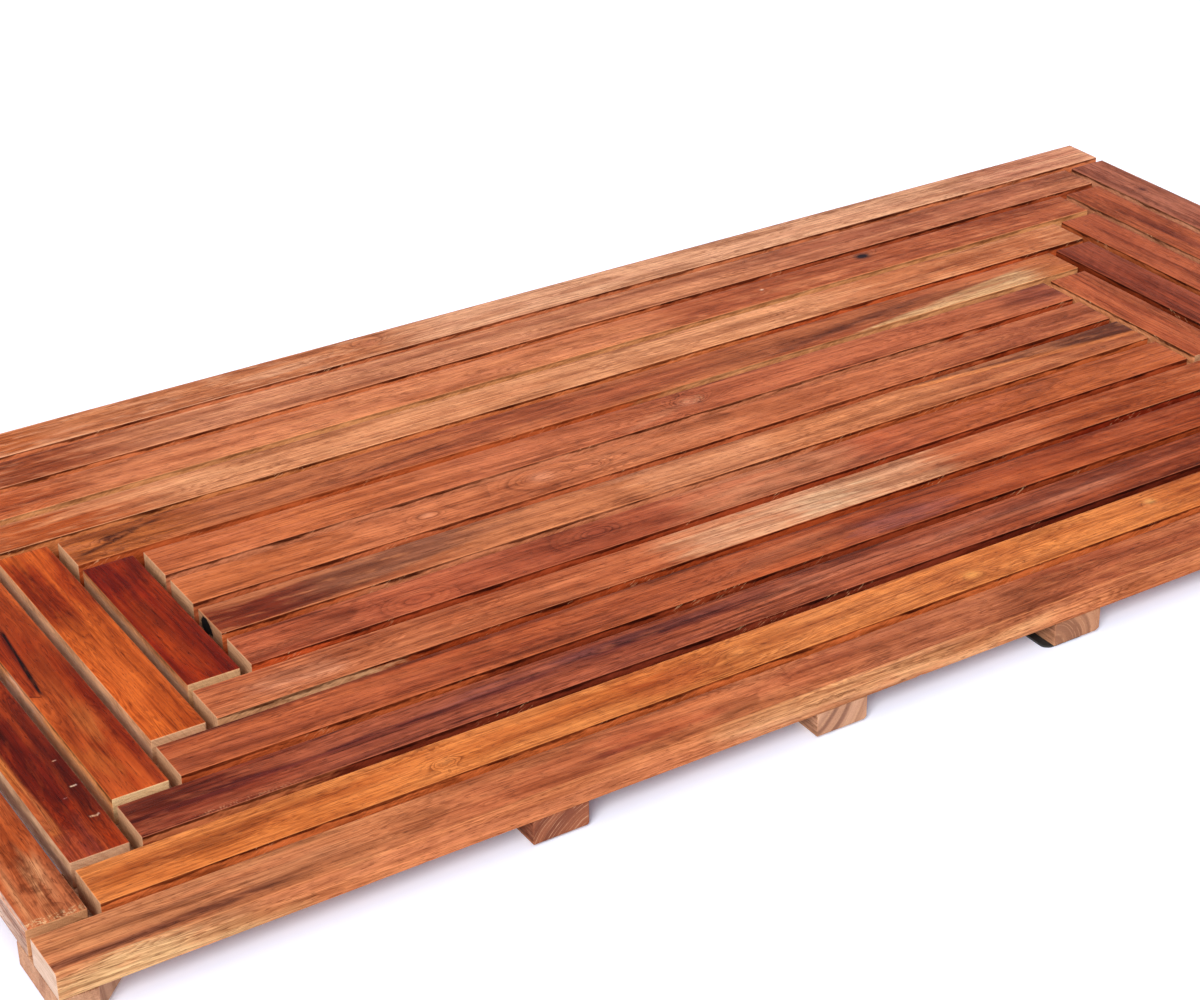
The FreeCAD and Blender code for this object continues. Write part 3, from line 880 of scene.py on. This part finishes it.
# how each batten was cut: plain and dark colour, heart, ring width, strength of the bands
BATTENS = {
    "cross_batten_left_outer": ((156, 96, 70), (112, 62, 48), (-26, -34), 2.2, 0.7),
    "cross_batten_left_inner": ((192, 146, 116), (122, 82, 68), (30, 18), 4.6, 0.8),
    "cross_batten_right_inner": ((182, 132, 100), (122, 80, 62), (16, -9), 3.0, 0.6),
    "cross_batten_right_outer": ((160, 104, 76), (112, 66, 52), (-18, -20), 3.2, 0.6),
}
SAWN = ((202, 154, 122), (142, 94, 74), (-14, 26), 3.2, 0.5)


def dress_battens():
    for node in frame["nodes"]:
        if "batten" not in node or "screws" in node:
            continue
        middle, size = middle_and_size(node)
        turn = math.pi / 2
        if node.startswith("corner"):
            turn = -math.pi / 4 if middle.x * middle.y > 0 else math.pi / 4
        plain, dark, heart, ring, bands = BATTENS.get(node, SAWN)
        seed = 31.0 + sum(map(ord, node)) % 17
        look = plank(plain, (214, 168, 130), dark, heart, 3, 0.0, ring, bands, 0.55, 0.35, 0.4,
                     1.6, seed=seed)
        dress(node, sawn_teak(node + "_sawn", look, middle, turn))


def rubber():
    f = Finish("pad_rubber_black")
    place = f.node("ShaderNodeTexCoord", output="Object")
    x, y, z = f.parts(place)
    grit = f.noise(x * 900, y * 900, z * 900, 3.0)
    shade = f.blend(grit.step(0.4, 0.7), (0.012, 0.012, 0.012), (0.030, 0.029, 0.028))
    bump = f.node("ShaderNodeBump", None, {"Strength": 0.4, "Distance": 0.0002, "Height": grit})
    return f.surface({}, Base_Color=shade, Roughness=0.62 + grit * 0.2, Normal=bump)


def dress_pads():
    material = rubber()
    for node in frame["nodes"]:
        if node.startswith("pad_"):
            dress(node, material)


def steel():
    f = Finish("screw_steel_satin")
    place = f.node("ShaderNodeTexCoord", output="Object")
    x, y, z = f.parts(place)
    stain = f.noise(x * 300, y * 300, z * 300, 3.0)
    shade = f.blend(stain.step(0.45, 0.7), (0.62, 0.60, 0.56), (0.40, 0.36, 0.30))
    return f.surface({"Metallic": 1.0}, Base_Color=shade, Roughness=0.28 + stain * 0.25)


# the screw's outline from its head up: height from the head, or from the tip, and radius, mm
HEAD, RIM, NECK, SHOULDER, POINT = (0.0, 3.5), (0.3, 3.5), (2.6, 1.75), (-4.0, 1.75), (0.0, 0.12)


def screw_tree():
    """Countersunk screws with a cross recess, heads down, one at each point of a mesh."""
    t = Shape("countersunk_screws")
    points = t.ask("Geometry", "NodeSocketGeometry")
    length = t.ask("Length", "NodeSocketFloat", 0.02)
    seed = t.ask("Seed", "NodeSocketInt", 0)
    material = t.ask("Material", "NodeSocketMaterial")

    levels = (HEAD, RIM, NECK, SHOULDER, POINT)
    inputs = {"Vertices": 28, "Side Segments": 4, "Radius": 1.0, "Depth": 4.0}
    blank = t.node("GeometryNodeMeshCylinder", None, inputs)
    x, y, z = t.parts(t.node("GeometryNodeInputPosition"))
    height, radius = 0.0, 0.0
    for level, (rise, wide) in enumerate(levels):
        share = (1 - abs(z + (2.0 - level))).maths("MAXIMUM", 0.0)
        rise = length + rise * MM if level > 2 else rise * MM
        height = share * rise + height
        radius = share * (wide * MM) + radius
    inputs = {"Geometry": blank, "Position": t.vector(x * radius, y * radius, height)}
    screw = t.node("GeometryNodeSetPosition", None, inputs)
    wings = []
    for size in ((4.0, 0.85, 3.2), (0.85, 4.0, 3.2)):
        wings.append(t.node("GeometryNodeMeshCube", None, {"Size": [v * MM for v in size]}))
    for wing in wings:
        inputs = {"Mesh 1": screw, "Mesh 2": wing}
        cut = {"operation": "DIFFERENCE", "solver": "MANIFOLD"}
        screw = t.node("GeometryNodeMeshBoolean", cut, inputs)
    inputs = {"Seed": seed, "Min": (0, 0, 0), "Max": (0, 0, 2 * math.pi)}
    spin = t.node("FunctionNodeRandomValue", {"data_type": "FLOAT_VECTOR"}, inputs)
    inputs = {"Points": points, "Instance": screw, "Rotation": spin}
    placed = t.node("GeometryNodeInstanceOnPoints", None, inputs)
    t.end(placed, material)
    return t


def make_screws():
    tree = screw_tree()
    material = steel()
    for number, node in enumerate(("cross_batten_screws", "corner_batten_screws")):
        low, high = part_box(node)
        tips = {(round(v.co.x, 5), round(v.co.y, 5)) for v in frame["nodes"][node].data.vertices
                if v.co.z > high.z - 0.01 * MM}
        heads = bpy.data.meshes.new(node + "_heads")
        heads.from_pydata([(x, y, low.z) for x, y in sorted(tips)], [], [])
        values = {"Length": high.z - low.z, "Seed": number, "Material": material}
        piece = tree.make(node + "_turned", values, heads)
        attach(piece, "root")
        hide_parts(node)


# ------------------------------------------------------------------ room


def make_floor():
    mesh = bpy.data.meshes.new("floor")
    reach = 6.0
    corners = [(-reach, -reach, 0), (reach, -reach, 0), (reach, reach, 0), (-reach, reach, 0)]
    mesh.from_pydata(corners, [], [(0, 1, 2, 3)])
    floor = bpy.data.objects.new("floor", mesh)
    bpy.context.scene.collection.objects.link(floor)
    # it is clear from below, so the underside can be looked at, and to rays under 5 mm long,
    # so the feet that stand on it keep their own colour
    f = Finish("pale_floor")
    inputs = {"Base Color": (0.85, 0.90, 1.0), "Roughness": 1.0, "Specular IOR Level": 0.0}
    inputs.update({"Emission Color": (0.62, 0.72, 1.0), "Emission Strength": 0.11})
    white = f.node("ShaderNodeBsdfPrincipled", None, inputs)
    from_below = f.node("ShaderNodeNewGeometry", output="Backfacing")
    reached = f.node("ShaderNodeLightPath", output="Ray Length")
    close = 1 - reached.step(0.004, 0.006)
    clear = f.node("ShaderNodeBsdfTransparent")
    inputs = {0: from_below.maths("MAXIMUM", close), 1: white, 2: clear}
    shown = f.node("ShaderNodeMixShader", None, inputs)
    f.node("ShaderNodeOutputMaterial", None, {"Surface": shown})
    mesh.materials.append(f.material)
    floor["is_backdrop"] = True


def area_light(name, place, aim, size, power):
    """A rectangular light at a place that points at another."""
    data = bpy.data.lights.new(name, "AREA")
    data.shape = "RECTANGLE"
    data.size, data.size_y = size
    data.energy = power
    lamp = bpy.data.objects.new(name, data)
    lamp.location = place
    lamp.rotation_euler = (Vector(aim) - Vector(place)).to_track_quat("-Z", "Y").to_euler()
    bpy.context.scene.collection.objects.link(lamp)


def make_lights():
    data = bpy.data.lights.new("front_left_key", "SUN")
    data.energy = 3.3
    data.angle = math.radians(28)
    data.color = (1.0, 0.955, 0.91)
    key = bpy.data.objects.new("front_left_key", data)
    toward = Vector((-0.62, -0.53, 0.58))
    key.rotation_euler = (-toward).to_track_quat("-Z", "Y").to_euler()
    bpy.context.scene.collection.objects.link(key)
    area_light("overhead_softbox", (0.3, 0.9, 2.4), (0, 0, 0), (2.6, 1.8), 8)
    world = bpy.data.worlds.new("studio")
    bpy.context.scene.world = world
    world.use_nodes = True
    sky = Tree(world.node_tree)
    world.node_tree.nodes.clear()
    height = sky.parts(sky.node("ShaderNodeTexCoord", output="Generated"))[2]
    settings = {"data_type": "RGBA"}
    tones = {SHARE: height.step(0.08, 0.18), UNDER: (1.0, 1.0, 1.0), OVER: (0.26, 0.27, 0.32)}
    shade = sky.node("ShaderNodeMix", settings, tones, MIXED)
    tones = {SHARE: height.step(0.62, 0.80), UNDER: shade, OVER: (1.15, 1.18, 1.30)}
    shade = sky.node("ShaderNodeMix", settings, tones, MIXED)
    light = sky.node("ShaderNodeBackground", None, {"Color": shade, "Strength": 1.0})
    sky.node("ShaderNodeOutputWorld", None, {"Surface": light})


def make_camera():
    azimuth, elevation, roll = math.radians(-31.86), math.radians(29.06), math.radians(-0.767)
    place = Vector((-0.7774, -1.1398, 0.7624))
    focal_share = 2.1968          # focal length as a share of the image width
    back = Vector((math.sin(azimuth) * math.cos(elevation),
                   -math.cos(azimuth) * math.cos(elevation), math.sin(elevation)))
    right = (-back).cross(Vector((0, 0, 1))).normalized()
    up = back.cross(right)
    right, up = (right * math.cos(roll) + up * math.sin(roll),
                 up * math.cos(roll) - right * math.sin(roll))
    data = bpy.data.cameras.new("camera")
    data.sensor_fit = "HORIZONTAL"
    data.sensor_width = 36.0
    data.lens = focal_share * data.sensor_width
    data.clip_start = 0.01
    camera = bpy.data.objects.new("camera", data)
    turn = Matrix((right, up, back)).transposed().to_4x4()
    camera.matrix_world = Matrix.Translation(place) @ turn
    bpy.context.scene.collection.objects.link(camera)
    bpy.context.scene.camera = camera


make_camera()
make_slats()
dress_battens()
dress_pads()
make_screws()
make_floor()
make_lights()
bpy.context.scene.view_settings.view_transform = "Standard"

sizes = {"cad": [list(corner) for corner in cad_box], "model": [list(corner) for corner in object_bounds()]}
